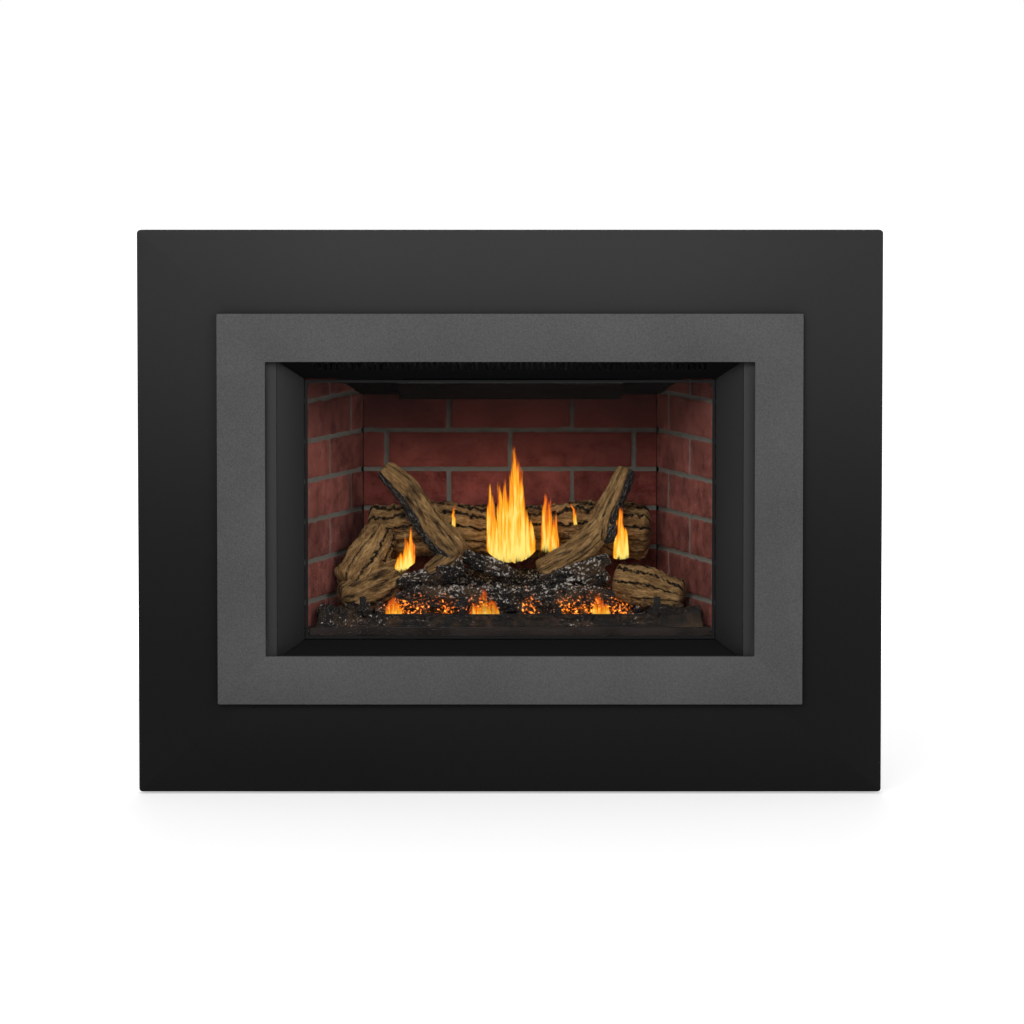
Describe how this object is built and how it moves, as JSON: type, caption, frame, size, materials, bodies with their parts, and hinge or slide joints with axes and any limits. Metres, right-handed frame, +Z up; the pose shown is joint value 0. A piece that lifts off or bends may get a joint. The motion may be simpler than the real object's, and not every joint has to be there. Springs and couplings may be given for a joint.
{
  "type": "gas fireplace insert",
  "caption": "Direct-vent gas fireplace insert with brick-lined firebox, ceramic log set, glass door, charcoal front frame and wide black surround.",
  "frame": {"origin": "on the hearth, under the middle of the whole insert", "axes": "+Z up, the front faces -Y, +X to the right as seen from the front"},
  "size_m": [1.118, 0.3892, 0.85],
  "materials": {
    "surround_black": "fine matt black powder coat",
    "front_charcoal": "textured charcoal powder coat",
    "trim_black": "matt black paint",
    "bezel_black": "satin black paint",
    "casing_black": "heat-proof black paint",
    "door_black": "heat-proof black paint",
    "casing_zinc": "galvanised sheet",
    "firebox_steel": "heat-proof black paint on steel",
    "hearth_brown": "heat-stained dark brown steel",
    "collar_steel": "plain steel",
    "spring_steel": "blued spring steel",
    "brick": "red fibre-cement brick with grey mortar",
    "glass": "clear ceramic glass",
    "embers": "glowing ceramic wool",
    "grate_iron": "black cast iron",
    "charcoal": "charred ceramic fibre with white ash",
    "log_bark": "painted ceramic fibre, split-oak bark",
    "knob_black": "moulded black plastic",
    "button_red": "moulded red plastic",
    "valve_metal": "die-cast",
    "pipe_brass": "drawn brass",
    "lever_yellow": "yellow painted steel",
    "rotor_aluminium": "pressed sheet",
    "foot_zinc": "zinc plated"
  },
  "bodies": {
    "cabinet": {"surround_panel": "surround_black", "side_trim_right": "trim_black", "side_trim_left": "trim_black", "face_header": "casing_black", "bezel_right": "bezel_black", "bezel_left": "bezel_black", "bezel_bottom": "bezel_black", "bezel_top": "bezel_black", "casing_base": "casing_zinc", "casing_right": "casing_zinc", "casing_left": "casing_zinc", "casing_back": "casing_zinc", "casing_top": "casing_zinc", "firebox_right": "firebox_steel", "firebox_left": "firebox_steel", "firebox_back": "firebox_steel", "firebox_floor": "hearth_brown", "firebox_top": "firebox_steel", "flue_baffle": "firebox_steel", "exhaust_duct": "casing_zinc", "exhaust_collar": "collar_steel", "intake_collar": "collar_steel", "brick_right": "brick", "brick_left": "brick", "brick_back": "brick", "hinge_bracket_right": "firebox_steel", "hinge_bracket_left": "firebox_steel", "door_clip_right": "spring_steel", "door_clip_left": "spring_steel", "burner_tray": "firebox_steel", "ember_bed": "embers", "grate": "grate_iron", "charcoal_bed": "charcoal", "rear_log": "log_bark", "left_front_log": "log_bark", "right_front_log": "log_bark", "left_forked_log": "log_bark", "right_forked_log": "log_bark", "front_char_log": "charcoal", "control_panel": "door_black", "gas_valve": "valve_metal", "supply_pipe": "pipe_brass", "burner_pipe": "valve_metal", "pilot_assembly": "valve_metal", "blower_housing": "casing_zinc"},
    "front": {"front_frame": "front_charcoal"},
    "door": {"door_frame": "door_black", "door_glass": "glass"},
    "relief_left": {"relief_flap_left": "firebox_steel"},
    "relief_right": {"relief_flap_right": "firebox_steel"},
    "gas_control": {"gas_knob": "knob_black"},
    "fan_control": {"fan_knob": "knob_black"},
    "igniter": {"igniter_button": "button_red"},
    "rocker": {"rocker_switch": "knob_black"},
    "shutoff": {"shutoff_lever": "lever_yellow"},
    "rotor": {"blower_rotor": "rotor_aluminium"},
    "foot_front_left": {"levelling_foot_front_left": "foot_zinc"},
    "foot_front_right": {"levelling_foot_front_right": "foot_zinc"},
    "foot_rear_left": {"levelling_foot_rear_left": "foot_zinc"},
    "foot_rear_right": {"levelling_foot_rear_right": "foot_zinc"}
  },
  "joints": [
    {"name": "front_pull", "type": "slide", "parent": "cabinet", "child": "front", "axis": [0, -1, 0], "range_m": [0, 0.12]},
    {"name": "door_hinge", "type": "hinge", "parent": "cabinet", "child": "door", "pos_m": [0, -0.14475, 0.619], "axis": [-1, 0, 0], "range_deg": [0, 35]},
    {"name": "relief_left_hinge", "type": "hinge", "parent": "cabinet", "child": "relief_left", "pos_m": [-0.172, -0.05565, 0.6283], "axis": [-1, 0, 0], "range_deg": [0, 40]},
    {"name": "relief_right_hinge", "type": "hinge", "parent": "cabinet", "child": "relief_right", "pos_m": [0.172, -0.05565, 0.6283], "axis": [-1, 0, 0], "range_deg": [0, 40]},
    {"name": "gas_knob_turn", "type": "hinge", "parent": "cabinet", "child": "gas_control", "pos_m": [0.15, -0.15875, 0.1755], "axis": [0, -1, 0], "range_deg": [0, 180]},
    {"name": "fan_knob_turn", "type": "hinge", "parent": "cabinet", "child": "fan_control", "pos_m": [-0.15, -0.15875, 0.1755], "axis": [0, 1, 0], "range_deg": [0, 270]},
    {"name": "igniter_press", "type": "slide", "parent": "cabinet", "child": "igniter", "axis": [0, 1, 0], "range_m": [0, 0.006], "stiffness_N_per_m": 400},
    {"name": "rocker_tilt", "type": "hinge", "parent": "cabinet", "child": "rocker", "pos_m": [-0.082, -0.15875, 0.1755], "axis": [1, 0, 0], "range_deg": [0, 14]},
    {"name": "shutoff_turn", "type": "hinge", "parent": "cabinet", "child": "shutoff", "pos_m": [0.285, -0.13465, 0.1375], "axis": [0, -1, 0], "range_deg": [0, 90]},
    {"name": "rotor_spin", "type": "hinge", "parent": "cabinet", "child": "rotor", "pos_m": [0, 0.10765, 0.08], "axis": [1, 0, 0], "continuous": true},
    {"name": "foot_front_left_turn", "type": "hinge", "parent": "cabinet", "child": "foot_front_left", "pos_m": [-0.33692, -0.13975, 0.01], "axis": [0, 0, -1], "continuous": true},
    {"name": "foot_front_right_turn", "type": "hinge", "parent": "cabinet", "child": "foot_front_right", "pos_m": [0.33692, -0.13975, 0.01], "axis": [0, 0, -1], "continuous": true},
    {"name": "foot_rear_left_turn", "type": "hinge", "parent": "cabinet", "child": "foot_rear_left", "pos_m": [-0.2719, 0.14665, 0.01], "axis": [0, 0, -1], "continuous": true},
    {"name": "foot_rear_right_turn", "type": "hinge", "parent": "cabinet", "child": "foot_rear_right", "pos_m": [0.2719, 0.14665, 0.01], "axis": [0, 0, -1], "continuous": true}
  ]
}
